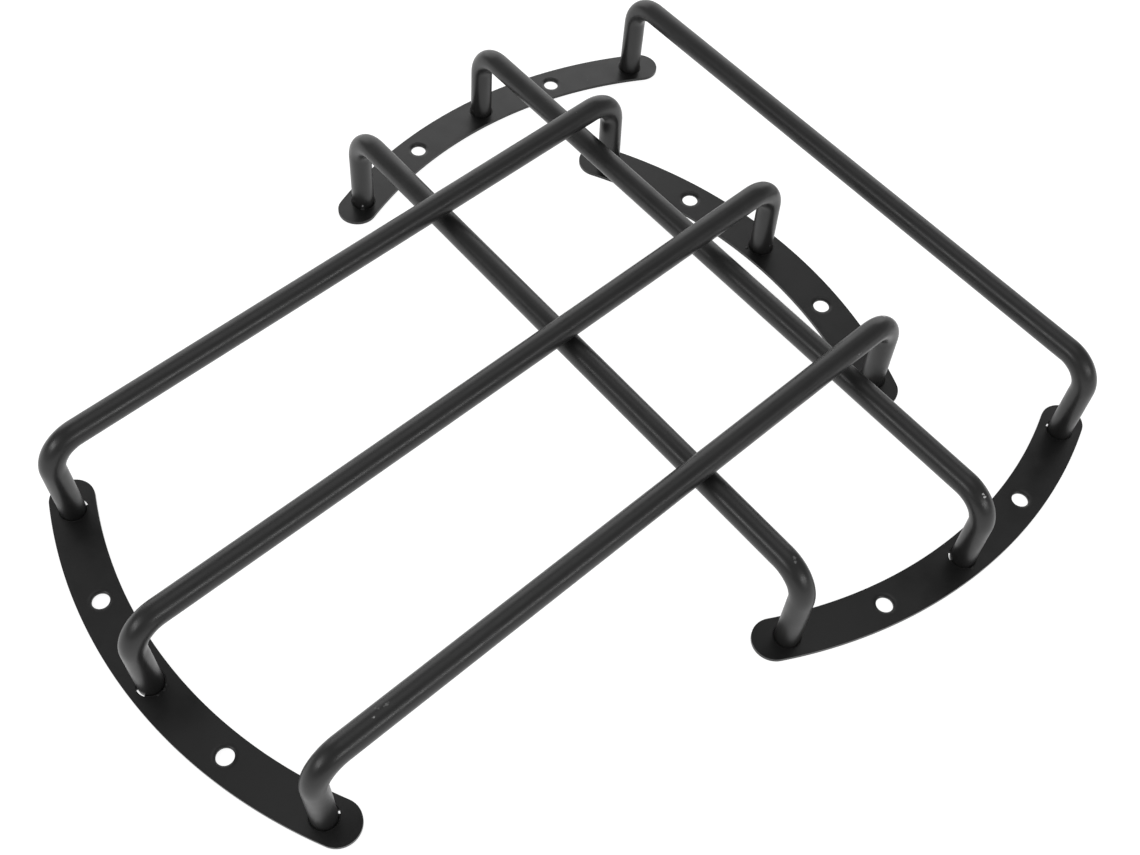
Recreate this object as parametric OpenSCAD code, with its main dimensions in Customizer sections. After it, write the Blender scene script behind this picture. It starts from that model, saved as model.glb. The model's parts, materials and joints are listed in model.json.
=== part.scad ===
// A pair of identical racks made of bent round rod and flat strip.
// Each rack has three rods bent into wide, low U shapes. Their feet stand in two curved
// flat strips and are welded there from underneath, and two bolts hold each strip.
// One rack lies flat. The other lies across it, with its front strip on the ground and
// its rods on the lower rack's front rod, and lifts off freely.
// The origin is the centre of the lower rack's four bolt holes, on the strips' underside.
// +X runs along the lower rack's rods, +Y towards its back rod, and +Z is up.

/* [Rods] */
// Diameter of the round rod
rod_d = 8; // [7:0.5:9]
// Distance between the two feet of the middle rod, centre to centre
middle_span = 255; // [235:1:270]
// Distance between neighbouring rods, centre to centre
rod_pitch = 65.25; // [62:0.25:68]
// Height of the outer rods' centreline above the underside of the strips
rod_h = 34.5; // [32:0.5:38]
// Radius of each bend, on the rod's centreline
bend_r = 10.5; // [9:0.5:14]
// How much lower than the outer rods the lower rack's middle rod runs
lower_middle_drop = 3; // [0:0.5:4]
// How much lower than the outer rods the upper rack's middle rod runs
upper_middle_drop = 1; // [0:0.5:4]

/* [Strips] */
// Width of the flat strip
strip_w = 14.25; // [13:0.25:16]
// Thickness of the flat strip
strip_t = 1.2; // [1:0.1:2]
// Radius of the arc that the middle of the strip follows
strip_arc_r = 160; // [150:1:175]
// How far the strip runs on past the centre of an outer foot, along the arc
strip_end = 11.25; // [9:0.25:13]
// Diameter of the bolt holes, for an M5 bolt
bolt_hole_d = 5.5; // [5.3:0.1:6]

/* [Feet] */
// Gap round a rod's foot in its hole in the strip
foot_gap = 0.5; // [0.5:0.1:0.9]
// Height of the weld in that gap, from the underside up
weld_h = 0.9; // [0.5:0.1:0.9]

/* [Crossed pair] */
// Turn of the upper rack about the vertical, from the lower rack
cross_turn = 92.8; // [88:0.1:96]
// X of the point where the upper rack's front strip touches the ground
touch_x = 11.7; // [5:0.1:18]
// How far that point lies in front of the lower rack's middle rod
touch_reach = 232.1; // [228:0.1:236]
// Gap left between the upper rack's middle rod and the rod that it lies on
rest_gap = 0.3; // [0.3:0.05:1]

/* [Hidden] */
rod_colour = "#2a2a2b";
strip_colour = "#343435";
weld_colour = "#1f1f20";

// Row positions across a rack: one side, the middle and the other side
ROWS = [0, 1, 2];
ROW_SIGN = [-1, 0, 1];
// Ends of a rack, along its rods
ENDS = [0, 1];
END_SIGN = [-1, 1];

// Names by place, seen from the front: the lower rack's rods run left to right,
// and the upper rack's rods run front to back
LOWER_ROWS = ["front", "middle", "back"];
LOWER_ENDS = ["left", "right"];
UPPER_ROWS = ["right", "middle", "left"];
UPPER_ENDS = ["front", "back"];

// The slit that each weld leaves open: its direction in the rack's own plane, and its
// width, both in degrees, for the three rows at one end and then at the other
LOWER_SLITS = [[[-38, 20], [212, 8], [66, 10]], [[136, 20], [226, 40], [195, 22]]];
UPPER_SLITS = [[[338, 12], [189, 44], [0, 28]], [[43, 20], [334, 8], [43, 20]]];

// Distance of the arc's centre from the middle of the rack
arc_centre = middle_span / 2 - strip_arc_r;
// Angle along the arc from the middle foot to the centre of the strip's round end
foot_angle = asin(rod_pitch / strip_arc_r);
end_angle = foot_angle + (strip_end - strip_w / 2) / strip_arc_r * 180 / PI;

// Distance of a hole in a strip from the middle of the rack, to a hundredth of a
// millimetre, for its distance from the middle row
function on_arc_x(y) = round(100 * (arc_centre + sqrt(pow(strip_arc_r, 2) - y * y))) / 100;
// Distance of a row from the middle row
function row_y(row) = ROW_SIGN[row] * rod_pitch;
// Distance of a foot from the middle of the rack, for its row
function foot_x(row) = on_arc_x(row_y(row));
// Height of a rod's centreline, for its row and its rack's drop at the middle
function rod_z(row, drop) = rod_h - (ROW_SIGN[row] == 0 ? drop : 0);

// The upper rack leans on the lower rack's front rod. Seen along that rod, the lean is
// the angle at which the upper middle rod passes just over it
lean_reach = (touch_reach - rod_pitch) / sin(cross_turn);
lean_rise = rod_d + rest_gap - (rod_h - upper_middle_drop);
lean = atan2(rod_h, lean_reach) + asin(lean_rise / norm([lean_reach, rod_h]));

function rod_name(rack, rows, row) = str(rack, "_", rows[row], "_rod");
function strip_name(rack, ends, end) = str(rack, "_", ends[end], "_strip");
function weld_name(rack, ends, end, rows, row) = str(rack, "_", ends[end], "_", rows[row], "_weld");

$fn = 96;

// One rod: a straight run, two quarter bends and two legs down to the underside
module bent_rod(row, drop) {
    top = rod_z(row, drop);
    run_end = foot_x(row) - bend_r;
    translate([0, row_y(row), 0]) {
        translate([-run_end, 0, top])
            rotate([0, 90, 0])
                cylinder(d = rod_d, h = 2 * run_end);
        for (end = ENDS)
            mirror([1 - end, 0, 0]) {
                translate([foot_x(row), 0, 0])
                    cylinder(d = rod_d, h = top - bend_r);
                translate([run_end, 0, top - bend_r])
                    rotate([90, 0, 0])
                        rotate_extrude(angle = 90)
                            translate([bend_r, 0])
                                circle(d = rod_d);
            }
    }
}

// A hole through a strip, at a distance from the middle row
module strip_hole(y, d) {
    translate([on_arc_x(y), y, -strip_t])
        cylinder(d = d, h = 3 * strip_t);
}

// One flat strip along its arc, with round ends, three foot holes and two bolt holes
module curved_strip(end) {
    mirror([1 - end, 0, 0])
        difference() {
            translate([arc_centre, 0, 0]) {
                rotate([0, 0, -end_angle])
                    rotate_extrude(angle = 2 * end_angle)
                        translate([strip_arc_r - strip_w / 2, 0])
                            square([strip_w, strip_t]);
                for (side = [-1, 1])
                    rotate([0, 0, side * end_angle])
                        translate([strip_arc_r, 0, 0])
                            cylinder(d = strip_w, h = strip_t);
            }
            for (row = ROWS)
                strip_hole(row_y(row), rod_d + 2 * foot_gap);
            for (side = [-1, 1])
                strip_hole(side * rod_pitch / 2, bolt_hole_d);
        }
}

// The weld in the gap round one foot: a ring with a slit left open
module foot_weld(end, row, slit) {
    translate([END_SIGN[end] * foot_x(row), row_y(row), 0])
        rotate([0, 0, slit[0] + slit[1] / 2])
            rotate_extrude(angle = 360 - slit[1])
                translate([rod_d / 2, 0])
                    square([foot_gap, weld_h]);
}

// Lays the upper rack down: its front strip's outer edge touches the ground, and it
// leans back on the lower rack
module lay_across() {
    translate([touch_x, -touch_reach, 0])
        rotate([0, -lean, cross_turn])
            translate([(middle_span + strip_w) / 2, 0, 0])
                children();
}

module lower_rod(row) {
    color(rod_colour) bent_rod(row, lower_middle_drop);
}

module lower_strip(end) {
    color(strip_colour) curved_strip(end);
}

module lower_weld(end, row) {
    color(weld_colour) foot_weld(end, row, LOWER_SLITS[end][row]);
}

module upper_rod(row) {
    color(rod_colour) lay_across() bent_rod(row, upper_middle_drop);
}

module upper_strip(end) {
    color(strip_colour) lay_across() curved_strip(end);
}

module upper_weld(end, row) {
    color(weld_colour) lay_across() foot_weld(end, row, UPPER_SLITS[end][row]);
}

for (row = ROWS) {
    lower_rod(row);
    upper_rod(row);
}
for (end = ENDS) {
    lower_strip(end);
    upper_strip(end);
}
for (end = ENDS, row = ROWS) {
    lower_weld(end, row);
    upper_weld(end, row);
}
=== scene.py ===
# %% [markdown]
# # A crossed pair of bent-rod racks
# Each of these small racks is three round steel rods, bent into wide U shapes, whose feet are
# welded into two curved flat strips. All of it is powder coated black. One rack lies flat and
# the other lies across it.
# The finished design comes in first, as a frame that is never moved. Every piece made below is
# measured from it, so nothing has to be fitted afterwards.

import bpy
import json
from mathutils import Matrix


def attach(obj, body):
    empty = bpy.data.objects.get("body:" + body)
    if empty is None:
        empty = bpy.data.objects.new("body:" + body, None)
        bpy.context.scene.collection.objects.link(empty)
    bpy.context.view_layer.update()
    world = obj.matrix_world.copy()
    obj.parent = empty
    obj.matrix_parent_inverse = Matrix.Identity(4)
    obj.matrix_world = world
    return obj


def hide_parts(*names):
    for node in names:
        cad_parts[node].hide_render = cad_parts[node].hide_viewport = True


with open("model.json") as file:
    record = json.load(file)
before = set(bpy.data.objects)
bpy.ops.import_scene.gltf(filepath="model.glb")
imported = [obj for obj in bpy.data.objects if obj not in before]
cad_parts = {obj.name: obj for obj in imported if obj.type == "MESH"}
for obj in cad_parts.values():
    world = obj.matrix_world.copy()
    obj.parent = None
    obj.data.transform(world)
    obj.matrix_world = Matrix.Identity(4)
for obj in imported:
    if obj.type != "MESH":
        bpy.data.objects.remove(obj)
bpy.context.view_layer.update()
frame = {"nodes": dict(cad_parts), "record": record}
print("nodes in the frame:", len(frame["nodes"]))

# %% [markdown]
# ## Tools for the bench
# Operators act on whatever is selected, and the frame arrives selected. So each step starts by
# selecting one object alone, and inside edit mode the vertices or faces to work on are picked
# by where they are. Picking by place keeps working when a size changes, and picking by number
# would not.

# %% Select and edit
import json
import math

import bmesh
import bpy
from mathutils import Matrix, Vector

MM = 0.001


def take(piece):
    """Selects one object alone and makes it the active one."""
    bpy.ops.object.select_all(action="DESELECT")
    piece.select_set(True)
    bpy.context.view_layer.objects.active = piece


def edit(piece):
    """Takes a piece into edit mode."""
    take(piece)
    bpy.ops.object.mode_set(mode="EDIT")


def leave_edit():
    """Goes back to object mode."""
    bpy.ops.object.mode_set(mode="OBJECT")


def pick(piece, part, wanted):
    """In edit mode, selects the vertices ("verts") or faces ("faces") whose place is wanted."""
    mesh = bmesh.from_edit_mesh(piece.data)
    bpy.ops.mesh.select_mode(type="FACE" if part == "faces" else "VERT")
    bpy.ops.mesh.select_all(action="DESELECT")
    for element in getattr(mesh, part):
        place = element.calc_center_median() if part == "faces" else element.co
        element.select = wanted(piece.matrix_world @ place)
    mesh.select_flush_mode()
    bmesh.update_edit_mesh(piece.data)


print("selecting:", [tool.__name__ for tool in (take, edit, leave_edit, pick)])

# %% Finish a mesh
SAME_POINT = 0.001 * MM
SAME_PLACE = 0.01 * MM


def apply_modifier(piece, kind, **settings):
    """Adds a modifier, sets it and applies it."""
    take(piece)
    modifier = piece.modifiers.new(kind.title(), kind)
    for name, value in settings.items():
        setattr(modifier, name, value)
    bpy.ops.object.modifier_apply(modifier=modifier.name)


def apply_place(piece):
    """Puts the piece's place, turn and scale into its mesh."""
    take(piece)
    bpy.ops.object.transform_apply(location=True, rotation=True, scale=True)


def settle(piece):
    """Puts the piece's place into its mesh, closes seams and turns every face outwards."""
    apply_place(piece)
    edit(piece)
    bpy.ops.mesh.select_all(action="SELECT")
    bpy.ops.mesh.remove_doubles(threshold=SAME_POINT)
    bpy.ops.mesh.normals_make_consistent(inside=False)
    leave_edit()


def shade(piece, sharp_above):
    """Shades a piece smooth, except over edges that turn more than sharp_above degrees."""
    take(piece)
    bpy.ops.object.shade_smooth_by_angle(angle=math.radians(sharp_above))


print("finishing:", [tool.__name__ for tool in (apply_modifier, apply_place, settle, shade)])

# %% [markdown]
# ## Where each rack lies
# Both racks are the same, so every piece is modelled in a rack's own plane and then laid where
# its rack lies. The four bolt holes of a rack give that place: their middle is the origin,
# their axis points up, and the line from one end's holes to the other's is the rack's length.
# The frame's own record lists those holes.

# %% Find the place of each rack
MOUNTS = {mount["name"]: mount for mount in frame["record"]["mounts"]}
RACKS = {
    "lower": {"ends": ("left", "right"), "rows": ("front", "middle", "back")},
    "upper": {"ends": ("front", "back"), "rows": ("right", "middle", "left")},
}


def bolt_hole(rack, end, row):
    """The middle of a bolt hole's wall, for an end and an outer row of a rack."""
    return Vector(MOUNTS[f"{rack}_{end}_{row}_bolt_hole"]["pos_m"])


def rack_place(rack):
    """The matrix from a rack's own plane to where the rack lies."""
    near, far = RACKS[rack]["ends"]
    first, _, last = RACKS[rack]["rows"]
    mount = MOUNTS[f"{rack}_{near}_{first}_bolt_hole"]
    up = Vector(mount["axis"]).normalized()
    ends = [(bolt_hole(rack, end, first) + bolt_hole(rack, end, last)) / 2 for end in (near, far)]
    along = (ends[1] - ends[0]).normalized()
    across = up.cross(along)
    origin = (ends[0] + ends[1]) / 2 - up * mount["dims"]["length_mm"] * MM / 2
    turn = Matrix((along, across, up)).transposed().to_4x4()
    return Matrix.Translation(origin) @ turn


for rack in RACKS:
    lean = math.degrees(rack_place(rack).to_3x3().col[2].angle(Vector((0, 0, 1))))
    print(rack, "rack leans by", round(lean, 2), "degrees")

# %% Measure a node in its rack's own plane
def own_points(rack, node):
    """A frame node's points in its rack's own plane."""
    back = rack_place(rack).inverted()
    return [back @ v.co for v in frame["nodes"][node].data.vertices]


def own_box(rack, node):
    """A frame node's lowest and highest corners in its rack's own plane."""
    points = own_points(rack, node)
    return tuple(Vector([limit(p[axis] for p in points) for axis in range(3)]) for limit in (min, max))


first_rod = own_box("lower", "lower_front_rod")
middle_rod = own_box("lower", "lower_middle_rod")
strip_box = own_box("lower", "lower_right_strip")
weld_box = own_box("lower", "lower_right_front_weld")
print("front rod:", [round(v / MM, 1) for v in first_rod[1] - first_rod[0]], "mm")
print("strip:", [round(v / MM, 1) for v in strip_box[1] - strip_box[0]], "mm")

# %% [markdown]
# ## The sizes
# Rod and strip sizes are read off the frame. Three feet of one strip lie on an arc, and the
# distance between feet with the arc's bulge gives its radius. The frame's round faces are made
# of small flats, so a size that is measured across them is rounded to a clean number.

# %% Read the sizes
RULER_STEP = 0.05 * MM


def clean(length):
    """A length rounded to the ruler's smallest step."""
    return round(length / RULER_STEP) * RULER_STEP


ROD_R = clean((first_rod[1].y - first_rod[0].y) / 2)
BEND_R = 10.5 * MM
ROW_GAP = -(first_rod[0].y + first_rod[1].y) / 2
MIDDLE_FOOT = middle_rod[1].x - ROD_R
OUTER_FOOT = first_rod[1].x - ROD_R
BULGE = MIDDLE_FOOT - OUTER_FOOT
ARC_R = (ROW_GAP**2 + BULGE**2) / (2 * BULGE)
ARC_X = MIDDLE_FOOT - ARC_R
STRIP_T = clean(strip_box[1].z - strip_box[0].z)
STRIP_W = clean(2 * (strip_box[1].x - MIDDLE_FOOT))
ROUND_END_ANGLE = math.asin((strip_box[1].y - STRIP_W / 2) / ARC_R)
FOOT_HOLE_R = clean((weld_box[1].y - weld_box[0].y) / 2)
BOLT_HOLE_R = MOUNTS["lower_bolt_holes"]["dims"]["hole_r_mm"] * MM

print("rod", round(2 * ROD_R / MM, 2), "mm thick")
print("strip", round(STRIP_W / MM, 2), "mm wide and", round(STRIP_T / MM, 2), "mm thick")
print("arc radius", round(ARC_R / MM, 1), "mm")
print("round ends at", round(math.degrees(ROUND_END_ANGLE), 1), "degrees to each side")

# %% [markdown]
# ## A bent rod
# On the real rack a straight bar is bent twice round a former. The same order works here: a
# filled circle is the bar's cut end, and it is pulled up the leg, spun round the first bend,
# pulled along the run, spun again and pulled down. A curve with a round profile would be
# quicker, but a spun mesh keeps its rings square to the bar, and the inside of each bend can then
# be crumpled by a hair, which a curve's profile can't be.

# %% Pull and spin
ROD_SIDES = 48
BEND_STEPS = 22
RUN_STEPS = 72
LEG_STEPS = 8
QUARTER_TURN = math.pi / 2


def pull(steps, **distance):
    """Extrudes what is selected in equal steps along x, y or z."""
    value = [distance.get(axis, 0) / steps for axis in "xyz"]
    for _ in range(steps):
        bpy.ops.mesh.extrude_region_move(TRANSFORM_OT_translate={"value": value})


def spin(steps, angle, center, axis):
    """Spins what is selected. The operator turns clockwise, so the sign is changed for it here."""
    bpy.ops.mesh.spin(steps=steps, angle=-angle, center=center, axis=axis)


print("a rod has", ROD_SIDES, "sides and", BEND_STEPS, "steps in a bend")

# %% Crumple the inside of a bend
BEND_SHAKE = 0.12 * MM
BEND_SMOOTHING = 3
SMOOTH_FACTOR = 0.5
INSIDE_LIMIT = BEND_R - 0.4 * ROD_R


def press_bend(rod, centre, seed):
    """Crumples the inside of a bend by a hair, as the former does to the real bar."""
    def inside(place):
        past_run = abs(place.x) >= abs(centre.x) and place.x * centre.x > 0
        reach = math.hypot(place.x - centre.x, place.z - centre.z)
        return past_run and place.z >= centre.z and reach < INSIDE_LIMIT

    pick(rod, "verts", inside)
    bpy.ops.transform.vertex_random(offset=BEND_SHAKE, seed=seed)
    bpy.ops.mesh.vertices_smooth(factor=SMOOTH_FACTOR, repeat=BEND_SMOOTHING)


print("inside of a bend: closer than", round(INSIDE_LIMIT / MM, 1), "mm to the bend's centre")

# %% The steps for one rod
CUT_ROUND = 0.35 * MM
CUT_SEGMENTS = 3


def bent_rod(name, box, seed):
    """One rod, from its box in the rack's own plane."""
    foot, top, y = box[1].x - ROD_R, box[1].z - ROD_R, (box[0].y + box[1].y) / 2
    leg, run_end = top - BEND_R, foot - BEND_R
    bpy.ops.object.select_all(action="DESELECT")
    bpy.ops.mesh.primitive_circle_add(
        vertices=ROD_SIDES, radius=ROD_R, fill_type="NGON", location=(foot, y, 0))
    rod = bpy.context.object
    rod.name = name
    edit(rod)
    bpy.ops.mesh.select_all(action="SELECT")
    pull(LEG_STEPS, z=leg)
    spin(BEND_STEPS, -QUARTER_TURN, (run_end, y, leg), (0, 1, 0))
    pull(RUN_STEPS, x=-2 * run_end)
    spin(BEND_STEPS, -QUARTER_TURN, (-run_end, y, leg), (0, 1, 0))
    pull(LEG_STEPS, z=-leg)
    for centre in (Vector((run_end, y, leg)), Vector((-run_end, y, leg))):
        press_bend(rod, centre, seed)
    for cut_end in (foot, -foot):
        pick(rod, "faces", lambda p: p.z < SAME_PLACE and abs(p.x - cut_end) < ROD_R / 2)
        bpy.ops.mesh.bevel(offset=CUT_ROUND, segments=CUT_SEGMENTS, affect="EDGES")
    leave_edit()
    settle(rod)
    return rod


print("a rod's cut ends are rounded by", round(CUT_ROUND / MM, 2), "mm")

# %% Bend the six rods and lay them on their racks
ROD_SHARP_ABOVE = 40


def lay_on_rack(piece, rack):
    """Lays a piece that was modelled in a rack's own plane where that rack lies."""
    piece.matrix_world = rack_place(rack)
    apply_place(piece)


RODS = {}
for rack, names in RACKS.items():
    for row in names["rows"]:
        node = f"{rack}_{row}_rod"
        RODS[node] = bent_rod(node + "_coated", own_box(rack, node), len(RODS))
        shade(RODS[node], ROD_SHARP_ABOVE)
        lay_on_rack(RODS[node], rack)
print("rods:", {name: len(rod.data.polygons) for name, rod in RODS.items()})

# %% [markdown]
# ## A curved strip
# The strip is cut from sheet on the real rack. Here it is one edge, as long as the strip is
# wide, spun along the arc. Half of that edge is then spun half a turn about the strip's middle
# line for each round end. Solidify gives the thickness, round cutters make the holes, and a
# small bevel rounds the edges as blasting and powder do. A punch pulls the rim of its hole down,
# so the cutter for a bolt hole flares at the top. It cuts after the bevel, which leaves a wide
# soft rim above and the sharp edge below that a punch leaves too.

# %% The outline of a strip
STRIP_STEPS = 96
ROUND_STEPS = 28


def end_point(side):
    """Where the middle line of a strip meets its round end, on the -y or +y side."""
    angle = side * ROUND_END_ANGLE
    return Vector((ARC_X + ARC_R * math.cos(angle), ARC_R * math.sin(angle), 0))


def on_end_edge(place, middle, outward):
    """True for the outer half of the edge where a strip's round end starts."""
    offset = place - middle
    sideways = offset - outward * offset.dot(outward)
    return sideways.length < SAME_PLACE and -SAME_PLACE < offset.dot(outward) < STRIP_W


def ribbon(name):
    """The flat outline of a strip on the +x side, in the rack's own plane."""
    bpy.ops.object.select_all(action="DESELECT")
    bpy.ops.mesh.primitive_plane_add(size=STRIP_W, location=(MIDDLE_FOOT, 0, 0))
    piece = bpy.context.object
    piece.name = name
    apply_place(piece)
    edit(piece)
    pick(piece, "verts", lambda p: p.y > 0)
    bpy.ops.mesh.delete(type="VERT")
    bpy.ops.mesh.select_all(action="SELECT")
    bpy.ops.transform.translate(value=(0, STRIP_W / 2, 0))
    bpy.ops.mesh.subdivide(number_cuts=1)
    spin(STRIP_STEPS // 2, ROUND_END_ANGLE, (ARC_X, 0, 0), (0, 0, 1))
    pick(piece, "verts", lambda p: abs(p.y) < SAME_PLACE)
    spin(STRIP_STEPS // 2, -ROUND_END_ANGLE, (ARC_X, 0, 0), (0, 0, 1))
    for side in (1, -1):
        middle = end_point(side)
        outward = Vector((middle.x - ARC_X, middle.y, 0)).normalized()
        pick(piece, "verts", lambda p: on_end_edge(p, middle, outward))
        spin(ROUND_STEPS, side * math.pi, middle, (0, 0, 1))
    bpy.ops.mesh.select_all(action="SELECT")
    bpy.ops.mesh.remove_doubles(threshold=SAME_PLACE)
    leave_edit()
    return piece


print("a strip's outline has", STRIP_STEPS, "steps along it and", ROUND_STEPS, "round each end")

# %% The shapes of the cutters
HOLE_SPARE = 2 * MM
RIM_STEPS = 8
RIM_CLEAR = 0.002 * MM
RIM_DEPTH = 0.6 * MM
RIM_WIDTH = 1.5 * MM


def plain_rings():
    """The heights and radii of a cutter for a foot hole."""
    return [(-HOLE_SPARE, FOOT_HOLE_R), (STRIP_T + HOLE_SPARE, FOOT_HOLE_R)]


def flared_rings():
    """The heights and radii of a cutter for a bolt hole, whose rim is pulled down at the top."""
    rings = [(-HOLE_SPARE, BOLT_HOLE_R)]
    for step in range(RIM_STEPS + 1):
        angle = step / RIM_STEPS * QUARTER_TURN
        height = STRIP_T + RIM_CLEAR - RIM_DEPTH * (1 - math.sin(angle))
        rings.append((height, BOLT_HOLE_R + RIM_WIDTH * (1 - math.cos(angle))))
    return rings + [(STRIP_T + HOLE_SPARE, rings[-1][1])]


print("foot hole cutter:", [(round(z / MM, 2), round(r / MM, 2)) for z, r in plain_rings()])
print("bolt hole cutter:", [(round(z / MM, 2), round(r / MM, 2)) for z, r in flared_rings()])

# %% Cut a hole
HOLE_SIDES = 48


def cut_hole(piece, x, y, rings):
    """Cuts an upright round hole with a cutter that is pulled up ring by ring."""
    bottom, radius = rings[0]
    bpy.ops.object.select_all(action="DESELECT")
    bpy.ops.mesh.primitive_circle_add(
        vertices=HOLE_SIDES, radius=radius, fill_type="NGON", location=(x, y, bottom))
    cutter = bpy.context.object
    edit(cutter)
    bpy.ops.mesh.select_all(action="SELECT")
    for (low, inner), (high, outer) in zip(rings, rings[1:]):
        pull(1, z=high - low)
        widen = outer / inner
        bpy.ops.transform.resize(value=(widen, widen, 1), center_override=(x, y, high))
    leave_edit()
    settle(cutter)
    apply_modifier(piece, "BOOLEAN", object=cutter, operation="DIFFERENCE", solver="EXACT")
    bpy.data.objects.remove(cutter)


print("a hole has", HOLE_SIDES, "sides")

# %% The steps for one strip
EDGE_ROUND = 0.33 * MM
EDGE_SEGMENTS = 3
EDGE_TURN = math.radians(50)
STRIP_SHARP_ABOVE = 40
FLAT_WEIGHT = 80


def arc_x(y):
    """How far out a strip's middle line is, for a place along it."""
    return ARC_X + math.sqrt(ARC_R**2 - y**2)


def curved_strip(name):
    """A strip on the +x side of a rack, in the rack's own plane."""
    strip = ribbon(name)
    apply_modifier(strip, "SOLIDIFY", thickness=STRIP_T, offset=1)
    for y in (-ROW_GAP, 0, ROW_GAP):
        cut_hole(strip, arc_x(y), y, plain_rings())
    settle(strip)
    apply_modifier(
        strip, "BEVEL", width=EDGE_ROUND, segments=EDGE_SEGMENTS, limit_method="ANGLE",
        angle_limit=EDGE_TURN)
    for y in (-ROW_GAP / 2, ROW_GAP / 2):
        cut_hole(strip, arc_x(y), y, flared_rings())
    settle(strip)
    shade(strip, STRIP_SHARP_ABOVE)
    apply_modifier(strip, "WEIGHTED_NORMAL", keep_sharp=True, weight=FLAT_WEIGHT)
    return strip


print("a strip's edges are rounded by", round(EDGE_ROUND / MM, 2), "mm")

# %% Make one strip and copy it to its four places
first_strip = curved_strip("first_strip")
STRIPS = {}
for rack, names in RACKS.items():
    for end, turn in zip(names["ends"], (math.pi, 0)):
        node = f"{rack}_{end}_strip"
        strip = first_strip.copy()
        strip.data = first_strip.data.copy()
        strip.name = node + "_coated"
        bpy.context.collection.objects.link(strip)
        strip.matrix_world = rack_place(rack) @ Matrix.Rotation(turn, 4, "Z")
        apply_place(strip)
        STRIPS[node] = strip
bpy.data.objects.remove(first_strip)
print("strips:", {name: len(strip.data.polygons) for name, strip in STRIPS.items()})

# %% [markdown]
# ## The welds
# The feet are thinner than their holes, and a bead underneath fills the gap without quite
# closing it. Each weld is therefore a ring with a slit. Its slit is read off the frame, a filled
# circle is spun round the foot from one side of the slit to the other, and the bead is then
# shaken a little and smoothed, because weld metal never lies even.

# %% Find each weld and its slit
WELD_NODES = [
    (rack, end, row) for rack, names in RACKS.items() for end in names["ends"] for row in names["rows"]
]


def foot_place(rack, end, row):
    """The middle of a foot, in the rack's own plane."""
    names = RACKS[rack]
    side = -1 if end == names["ends"][0] else 1
    y = ROW_GAP * (names["rows"].index(row) - 1)
    return Vector((side * arc_x(y), y, 0))


def slit_edges(rack, node, foot):
    """The angles where a weld ring starts and ends, from the widest gap between its points."""
    angles = sorted(math.atan2(p.y - foot.y, p.x - foot.x) for p in own_points(rack, node))
    gaps = [(b - a, b, a) for a, b in zip(angles, angles[1:] + [angles[0] + 2 * math.pi])]
    widest = max(gaps)
    return widest[1], widest[2] + 2 * math.pi


print("welds to lay:", len(WELD_NODES))

# %% A slit ring of weld metal
BEAD_SIDES = 12
BEAD_STEP_DEGREES = 4
BEAD_OVERLAP = 0.12 * MM
BEAD_SHAKE = 0.09 * MM
BEAD_SMOOTHING = 2
BEAD_FOOT = 0.04 * MM
BEAD_TOP = STRIP_T - 0.10 * MM


def turn_about(place, angle):
    """Turns what is selected about an upright line, counter-clockwise seen from above."""
    bpy.ops.transform.rotate(value=-angle, orient_axis="Z", center_override=place)


def bead(name, foot, start, end, seed):
    """A slit ring of weld metal round a foot, in the rack's own plane."""
    tube_r = (FOOT_HOLE_R - ROD_R) / 2 + BEAD_OVERLAP
    middle = foot + Vector(((FOOT_HOLE_R + ROD_R) / 2, 0, (BEAD_FOOT + BEAD_TOP) / 2))
    bpy.ops.object.select_all(action="DESELECT")
    bpy.ops.mesh.primitive_circle_add(
        vertices=BEAD_SIDES, radius=tube_r, fill_type="NGON", location=middle,
        rotation=(QUARTER_TURN, 0, 0))
    piece = bpy.context.object
    piece.name = name
    apply_place(piece)
    edit(piece)
    bpy.ops.mesh.select_all(action="SELECT")
    tall = (BEAD_TOP - BEAD_FOOT) / 2 / tube_r
    bpy.ops.transform.resize(value=(1, 1, tall), center_override=middle)
    turn_about(foot, start)
    steps = round(math.degrees(end - start) / BEAD_STEP_DEGREES)
    spin(steps, end - start, foot, (0, 0, 1))
    bpy.ops.mesh.select_all(action="SELECT")
    bpy.ops.transform.vertex_random(offset=BEAD_SHAKE, seed=seed)
    bpy.ops.mesh.vertices_smooth(factor=SMOOTH_FACTOR, repeat=BEAD_SMOOTHING)
    bpy.ops.mesh.normals_make_consistent(inside=False)
    leave_edit()
    return piece


print("a bead has", BEAD_SIDES, "sides and a step every", BEAD_STEP_DEGREES, "degrees")

# %% [markdown]
# ## Spatter
# A few drops of hot metal stay on the strip beside the feet and are coated with it. Each is a
# ball, pressed flat and sunk into the strip, and it is joined to the weld that it flew from.

# %% One drop
DROP_DETAIL = 3
DROP_FLAT = 0.6
DROP_RISE = 0.5


def spatter(weld, foot, angle, distance, size):
    """Adds one drop of weld metal on the strip beside a foot."""
    place = foot + Vector((math.cos(angle), math.sin(angle), 0)) * distance
    place.z = STRIP_T + size * (DROP_RISE - DROP_FLAT)
    bpy.ops.object.select_all(action="DESELECT")
    bpy.ops.mesh.primitive_ico_sphere_add(
        subdivisions=DROP_DETAIL, radius=size, location=place, scale=(1, 1, DROP_FLAT))
    weld.select_set(True)
    bpy.context.view_layer.objects.active = weld
    bpy.ops.object.join()


# For each weld with spatter: the direction in degrees, the distance and the drop's radius in mm.
DROPS = {
    "lower_left_front_weld": [(178, 6.1, 0.7), (196, 5.2, 0.5)],
    "lower_right_middle_weld": [(-6, 4.6, 0.55)],
    "upper_front_middle_weld": [(-96, 4.6, 0.5), (-70, 4.7, 0.55), (-52, 4.6, 0.45)],
    "upper_back_middle_weld": [(150, 5.2, 0.6)],
}
print("drops:", sum(len(drops) for drops in DROPS.values()))

# %% Lay the twelve welds
WELD_SHARP_ABOVE = 60

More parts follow.
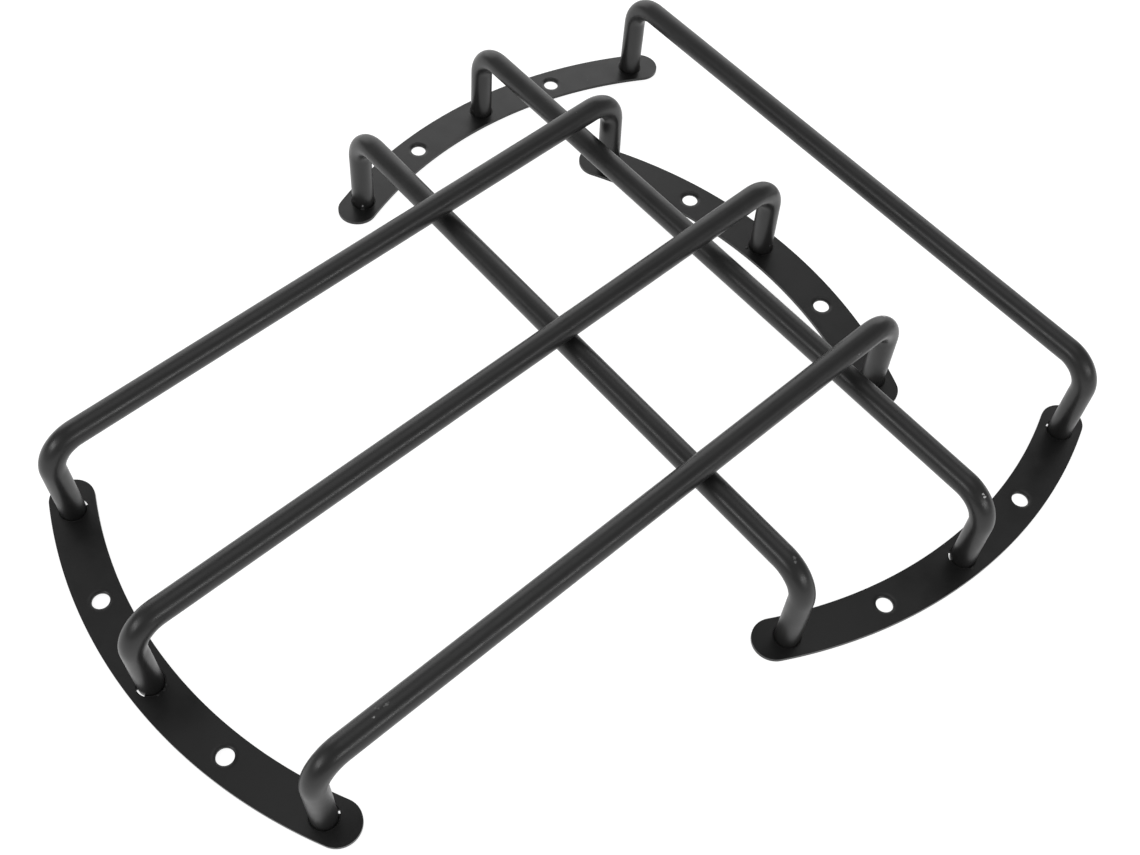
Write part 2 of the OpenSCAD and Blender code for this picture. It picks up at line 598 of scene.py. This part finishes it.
WELDS = {}
for seed, (rack, end, row) in enumerate(WELD_NODES):
    node = f"{rack}_{end}_{row}_weld"
    foot = foot_place(rack, end, row)
    start, stop = slit_edges(rack, node, foot)
    WELDS[node] = bead(node + "_coated", foot, start, stop, seed)
    for angle, distance, size in DROPS.get(node, []):
        spatter(WELDS[node], foot, math.radians(angle), distance * MM, size * MM)
    shade(WELDS[node], WELD_SHARP_ABOVE)
    lay_on_rack(WELDS[node], rack)
    print(node, "runs from", round(math.degrees(start)), "to", round(math.degrees(stop)), "degrees")

# %% [markdown]
# ## The finish
# Black powder coat is a soft semi-gloss skin, baked on and about a tenth of a millimetre thick.
# It is nearly black, so what shows is mostly reflection, and the roughness matters more than
# the colour. The powder flows into shallow waves as it bakes, which breaks up every highlight
# a little. An image could carry all of this, but noise that is read at the object's own
# coordinates never repeats and needs no unwrapping.

# %% Small node tools
def node_material(name):
    """An empty node material, with its tree."""
    material = bpy.data.materials.new(name)
    material.use_nodes = True
    tree = material.node_tree
    tree.nodes.clear()
    return material, tree


def add(tree, kind, **values):
    """Adds a node and sets its inputs by name."""
    node = tree.nodes.new(kind)
    for name, value in values.items():
        node.inputs[name.replace("_", " ")].default_value = value
    return node


def spread(tree, value, low, high, to_low, to_high):
    """Maps a value from one range to another and holds it inside."""
    node = tree.nodes.new("ShaderNodeMapRange")
    node.clamp = True
    for name, number in zip(("From Min", "From Max", "To Min", "To Max"), (low, high, to_low, to_high)):
        node.inputs[name].default_value = number
    tree.links.new(value, node.inputs["Value"])
    return node.outputs["Result"]


def joined(tree, operation, first, second):
    """Joins two values by a mathematical operation."""
    node = tree.nodes.new("ShaderNodeMath")
    node.operation = operation
    tree.links.new(first, node.inputs[0])
    tree.links.new(second, node.inputs[1])
    return node.outputs[0]


print("node tools:", [tool.__name__ for tool in (node_material, add, spread, joined)])

# %% Noise and bump
NOISE_DETAIL = 2.0
NOISE_ROUGHNESS = 0.55
NOISE_MIDDLE = 0.5


def noise(tree, place, size, detail=NOISE_DETAIL):
    """A noise whose lumps are about as large as size, read at an object's own coordinates."""
    texture = add(tree, "ShaderNodeTexNoise", Scale=1 / size, Detail=detail, Roughness=NOISE_ROUGHNESS)
    tree.links.new(place, texture.inputs["Vector"])
    return texture.outputs["Fac"]


def bump(tree, height, strength, distance, under=None):
    """A bump from a height, on top of another bump when one is given."""
    node = add(tree, "ShaderNodeBump", Strength=strength, Distance=distance)
    tree.links.new(height, node.inputs["Height"])
    if under:
        tree.links.new(under, node.inputs["Normal"])
    return node.outputs["Normal"]


print("noise detail", NOISE_DETAIL)

# %% [markdown]
# ## Dust, wear and painted glints
# Specks of dust settle everywhere, and the coat is scuffed grey where metal touched it. A speck
# is the middle of one cell of a Voronoi pattern, and only a few cells get one. A scuff is a
# small ball of space round a known spot: whatever surface passes through it turns grey. Its
# coordinates are shaken by noise first, so that its edge is torn instead of round. The brightest
# of these spots, on the outside of the bends and low on a leg, are painted glints: light caught
# there is painted into the coat's colour.

# %% Dust
DUST_GAP = 9 * MM
DUST_SIZE = 0.25 * MM
DUST_STRENGTH = 0.15
SPECK_CORE = 0.5
DUSTY_CELLS = 0.8


def dust(tree, place):
    """A mask of sparse specks: the middles of a few of a Voronoi pattern's cells."""
    cells = add(tree, "ShaderNodeTexVoronoi", Scale=1 / DUST_GAP)
    tree.links.new(place, cells.inputs["Vector"])
    edge = DUST_SIZE / DUST_GAP
    speck = spread(tree, cells.outputs["Distance"], edge * SPECK_CORE, edge, 1, 0)
    chosen = tree.nodes.new("ShaderNodeSeparateColor")
    tree.links.new(cells.outputs["Color"], chosen.inputs["Color"])
    few = spread(tree, chosen.outputs["Red"], DUSTY_CELLS, 1, 0, DUST_STRENGTH)
    return joined(tree, "MULTIPLY", speck, few)


print("specks are", round(DUST_SIZE / MM, 2), "mm in radius")

# %% Scuffs and painted glints
MARK_CORE = 0.4
TEAR_SIZE = 0.5 * MM
TEAR_DEPTH = 1.2 * MM


def torn(tree, place):
    """The coordinates shaken by fine noise, which tears the edge of what is masked with them."""
    texture = add(tree, "ShaderNodeTexNoise", Scale=1 / TEAR_SIZE, Detail=NOISE_DETAIL)
    tree.links.new(place, texture.inputs["Vector"])
    centred = tree.nodes.new("ShaderNodeVectorMath")
    centred.operation = "SUBTRACT"
    centred.inputs[1].default_value = (NOISE_MIDDLE, NOISE_MIDDLE, NOISE_MIDDLE)
    tree.links.new(texture.outputs["Color"], centred.inputs[0])
    shaken = tree.nodes.new("ShaderNodeVectorMath")
    shaken.operation = "MULTIPLY_ADD"
    shaken.inputs[1].default_value = (TEAR_DEPTH, TEAR_DEPTH, TEAR_DEPTH)
    tree.links.new(centred.outputs["Vector"], shaken.inputs[0])
    tree.links.new(place, shaken.inputs[2])
    return shaken.outputs["Vector"]


def near(tree, place, spot, radius, strength):
    """A mask that is as high as strength at a spot and fades to 0 at its radius."""
    node = tree.nodes.new("ShaderNodeVectorMath")
    node.operation = "DISTANCE"
    node.inputs[1].default_value = spot
    tree.links.new(place, node.inputs[0])
    return spread(tree, node.outputs["Value"], radius * MARK_CORE, radius, strength, 0)


# For each scuff and each painted glint: its rack, its place in that rack's own plane and its radius in mm,
# its strength. The strongest, on the bends and low on a leg, are painted glints.
SCUFFS_AND_GLINTS = [
    ("upper", (-92.6, -65.6, 38.4), 0.39, 0.45), ("upper", (-87.9, -65.0, 38.5), 0.624, 0.18),
    ("upper", (-90.1, -64.6, 38.4), 0.39, 0.10), ("upper", (-90.8, -63.9, 38.2), 0.39, 0.10),
    ("upper", (-88.7, -65.1, 38.5), 0.468, 0.12), ("upper", (-87.1, -64.8, 38.5), 0.39, 0.12),
    ("upper", (93.6, -68.9, 36.0), 0.546, 0.20), ("upper", (92.6, -69.0, 35.8), 0.39, 0.10),
    ("upper", (94.6, -69.0, 35.9), 0.39, 0.10), ("upper", (111.1, -63.8, 35.8), 0.858, 0.80),
    ("upper", (112.2, -67.7, 34.2), 0.468, 0.12), ("upper", (127.4, -4.0, 4.8), 0.39, 0.40),
    ("lower", (106.6, -64.9, 38.0), 0.624, 0.18), ("lower", (107.6, -65.5, 37.7), 0.546, 0.25),
    ("lower", (124.0, -0.3, 33.6), 0.468, 0.90), ("lower", (124.8, -0.3, 33.1), 0.546, 0.90),
    ("lower", (-110.4, -67.7, 2.7), 0.468, 0.90), ("lower", (-113.6, -69.2, 3.5), 0.468, 0.20),
    ("lower", (-127.6, -4.0, 3.5), 0.312, 0.25),
]
ROD_SCUFFS_AND_GLINTS = [
    (rack_place(rack) @ (Vector(spot) * MM), radius * MM, strength) for rack, spot, radius, strength in SCUFFS_AND_GLINTS
]
print("scuffs_and_glints:", len(ROD_SCUFFS_AND_GLINTS))

# %% [markdown]
# ## The coat itself
# One recipe serves rods, strips and welds, with a slightly different darkness and gloss for
# each. Roughness changes slowly over the surface, because the powder is never quite even. Two
# bumps lie on top of each other: the waves, and a finer grain.

# %% The recipe
COAT_IOR = 1.46
DUST_SCUFF_AND_GLINT_GREY = 0.60
PATCH_SIZE = 6 * MM
PATCH_DETAIL = 4
PATCH_LOW, PATCH_HIGH = 0.3, 0.7
SMOOTHER, ROUGHER = 0.04, 0.06
WAVE_SIZE = 1.6 * MM
WAVE_STRENGTH = 0.5
GRAIN_SIZE = 0.35 * MM
GRAIN_STRENGTH = 0.35
WAVES_TO_GRAIN = 3


def dust_scuff_and_glint_colour(tree, place, grey, scuffs_and_glints):
    """The coat's grey, mixed towards a light grey at dust, at scuffs and at painted glints."""
    dust_scuff_and_glint_mask = dust(tree, place)
    edge = torn(tree, place)
    for spot, radius, strength in scuffs_and_glints:
        dust_scuff_and_glint_mask = joined(tree, "MAXIMUM", dust_scuff_and_glint_mask, near(tree, edge, spot, radius, strength))
    # Painted glints: the brightest spots mix the coat towards light grey where light catches the bends and a
    # leg.
    mix = tree.nodes.new("ShaderNodeMix")
    mix.data_type = "RGBA"
    mix.inputs["A"].default_value = (grey, grey, grey, 1)
    mix.inputs["B"].default_value = (DUST_SCUFF_AND_GLINT_GREY, DUST_SCUFF_AND_GLINT_GREY, DUST_SCUFF_AND_GLINT_GREY, 1)
    tree.links.new(dust_scuff_and_glint_mask, mix.inputs["Factor"])
    return mix.outputs["Result"]


def powder_coat(name, grey, wave_height, rough, scuffs_and_glints=()):
    """Black powder coat, as dark as grey, with waves of the given height, scuffs and painted glints."""
    material, tree = node_material(name)
    place = tree.nodes.new("ShaderNodeTexCoord").outputs["Object"]
    shader = add(tree, "ShaderNodeBsdfPrincipled", IOR=COAT_IOR)
    output = tree.nodes.new("ShaderNodeOutputMaterial")
    tree.links.new(shader.outputs["BSDF"], output.inputs["Surface"])
    patches = noise(tree, place, PATCH_SIZE, PATCH_DETAIL)
    gloss = spread(tree, patches, PATCH_LOW, PATCH_HIGH, rough - SMOOTHER, rough + ROUGHER)
    tree.links.new(gloss, shader.inputs["Roughness"])
    tree.links.new(dust_scuff_and_glint_colour(tree, place, grey, scuffs_and_glints), shader.inputs["Base Color"])
    waves = bump(tree, noise(tree, place, WAVE_SIZE), WAVE_STRENGTH, wave_height)
    grain_height = wave_height / WAVES_TO_GRAIN
    grain = bump(tree, noise(tree, place, GRAIN_SIZE), GRAIN_STRENGTH, grain_height, waves)
    tree.links.new(grain, shader.inputs["Normal"])
    return material


print("waves", round(WAVE_SIZE / MM, 1), "mm apart, grain", round(GRAIN_SIZE / MM, 2), "mm")

# %% The three coats
ROD_GREY = 0.012
STRIP_GREY = 0.006
COAT_ROUGH = 0.34
WELD_ROUGH = COAT_ROUGH + 0.1
COAT_WAVES = 0.03 * MM
WELD_WAVES = 0.06 * MM

COAT = {
    # The rod coat carries the scuffs and the painted glints.
    "rod": powder_coat("rod_coat", ROD_GREY, COAT_WAVES, COAT_ROUGH, ROD_SCUFFS_AND_GLINTS),
    "strip": powder_coat("strip_coat", STRIP_GREY, COAT_WAVES, COAT_ROUGH),
    "weld": powder_coat("weld_coat", STRIP_GREY, WELD_WAVES, WELD_ROUGH),
}
print("coats:", ", ".join(COAT))

# %% [markdown]
# ## Putting the pieces in place of the frame's nodes
# Every piece rides on its rack's body, stands in for its node of the frame and carries the slot
# that a later painter can swap.

# %% Join the pieces to the frame
for pieces, slot in ((RODS, "rod"), (STRIPS, "strip"), (WELDS, "weld")):
    for node, piece in pieces.items():
        piece.data.materials.clear()
        piece.data.materials.append(COAT[slot])
        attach(piece, node.split("_")[0] + "_rack")
        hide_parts(node)
print("pieces:", len(RODS) + len(STRIPS) + len(WELDS))

# %% [markdown]
# ## The floor
# The racks stand on a white floor that glows a little. A plain white floor would need strong
# lights to look white, and these would wash out the black coat. The glow also lights the racks
# from below, so both edges of every rod turn light.

# %% Floor and surroundings
FLOOR_WHITE = 0.4
FLOOR_ROUGH = 0.9
FLOOR_GLOW = 0.85
FLOOR_SIZE = 8.0
FLOOR_DROP = 0.2 * MM
WORLD_GREY = 0.38

bpy.ops.object.select_all(action="DESELECT")
bpy.ops.mesh.primitive_plane_add(size=FLOOR_SIZE, location=(0, 0, -FLOOR_DROP))
floor = bpy.context.object
floor.name = "studio_floor"
floor_material, tree = node_material("studio_white")
floor_shader = add(
    tree, "ShaderNodeBsdfPrincipled", Base_Color=(FLOOR_WHITE, FLOOR_WHITE, FLOOR_WHITE, 1),
    Roughness=FLOOR_ROUGH, Specular_IOR_Level=0, Emission_Color=(1, 1, 1, 1), Emission_Strength=FLOOR_GLOW)
floor_output = tree.nodes.new("ShaderNodeOutputMaterial")
tree.links.new(floor_shader.outputs["BSDF"], floor_output.inputs["Surface"])
floor.data.materials.append(floor_material)

world = bpy.data.worlds.new("studio_world")
bpy.context.scene.world = world
world.use_nodes = True
world_light = world.node_tree.nodes["Background"]
world_light.inputs["Color"].default_value = (WORLD_GREY, WORLD_GREY, WORLD_GREY, 1)
print("floor", FLOOR_SIZE, "m wide, just under the racks")

# %% [markdown]
# ## The light
# A glossy rod shows a light only where its round side mirrors it to the eye, so each light is
# placed by what it draws. The large soft box behind gives every rod a broad, softly lit far
# side. The one overhead fills the tops. Each of the two long thin ones draws a narrow streak
# along the near side of one rack's rods.

# %% Lights
# For each light: its level direction, its height in degrees, its distance, width and height
# in metres, and its brightness.
LIGHTS = {
    "back_soft_box": ((-0.86, 0.51), 26, 1.5, 3.0, 1.15, 1.35),
    "top_soft_box": ((-0.7, 0.7), 84, 1.6, 1.0, 1.0, 0.7),
    "right_strip_light": ((1.0, 0.05), 27, 1.5, 1.0, 0.18, 8.5),
    "front_strip_light": ((-0.12, -0.99), 31, 1.5, 0.9, 0.18, 8.5),
}


def soft_box(name, toward, elevation, distance, width, height, brightness):
    """A rectangular light that faces the racks, from a level direction and a height angle."""
    level = Vector((toward[0], toward[1], 0)).normalized()
    rise = math.radians(elevation)
    place = (level * math.cos(rise) + Vector((0, 0, math.sin(rise)))) * distance
    bpy.ops.object.select_all(action="DESELECT")
    bpy.ops.object.light_add(type="AREA", location=place)
    light = bpy.context.object
    light.name = name
    light.rotation_euler = place.to_track_quat("Z", "Y").to_euler()
    light.data.shape = "RECTANGLE"
    light.data.size = width
    light.data.size_y = height
    light.data.energy = brightness * math.pi * width * height
    light.visible_camera = False
    return light


for name, settings in LIGHTS.items():
    light = soft_box(name, *settings)
    print(name, round(light.data.energy, 2), "W")

# %% [markdown]
# ## The camera
# It looks down at the crossing from the front right, turned slightly about its own line of
# sight. The lens is a mild telephoto, which keeps the racks from spreading.

# %% Camera
CAMERA_PLACE = Vector((0.2199, -0.2696, 0.3959))
CAMERA_FORWARD = Vector((-0.42364, 0.41049, -0.80748)).normalized()
CAMERA_RIGHT = Vector((0.62998, 0.77405, 0.06298)).normalized()
LENS_MM = 46.23
SENSOR_MM = 36
NEAREST_SEEN = 0.01
FARTHEST_SEEN = 20

bpy.ops.object.camera_add(location=CAMERA_PLACE)
camera = bpy.context.object
camera.name = "studio_camera"
camera_up = CAMERA_RIGHT.cross(CAMERA_FORWARD).normalized()
camera_right = CAMERA_FORWARD.cross(camera_up)
turn = Matrix((camera_right, camera_up, -CAMERA_FORWARD)).transposed()
camera.rotation_euler = turn.to_euler()
camera.data.lens = LENS_MM
camera.data.sensor_width = SENSOR_MM
camera.data.clip_start = NEAREST_SEEN
camera.data.clip_end = FARTHEST_SEEN
bpy.context.scene.camera = camera
bpy.context.scene.view_settings.view_transform = "Standard"
print("camera", round(CAMERA_PLACE.length, 2), "m away, lens", LENS_MM, "mm")
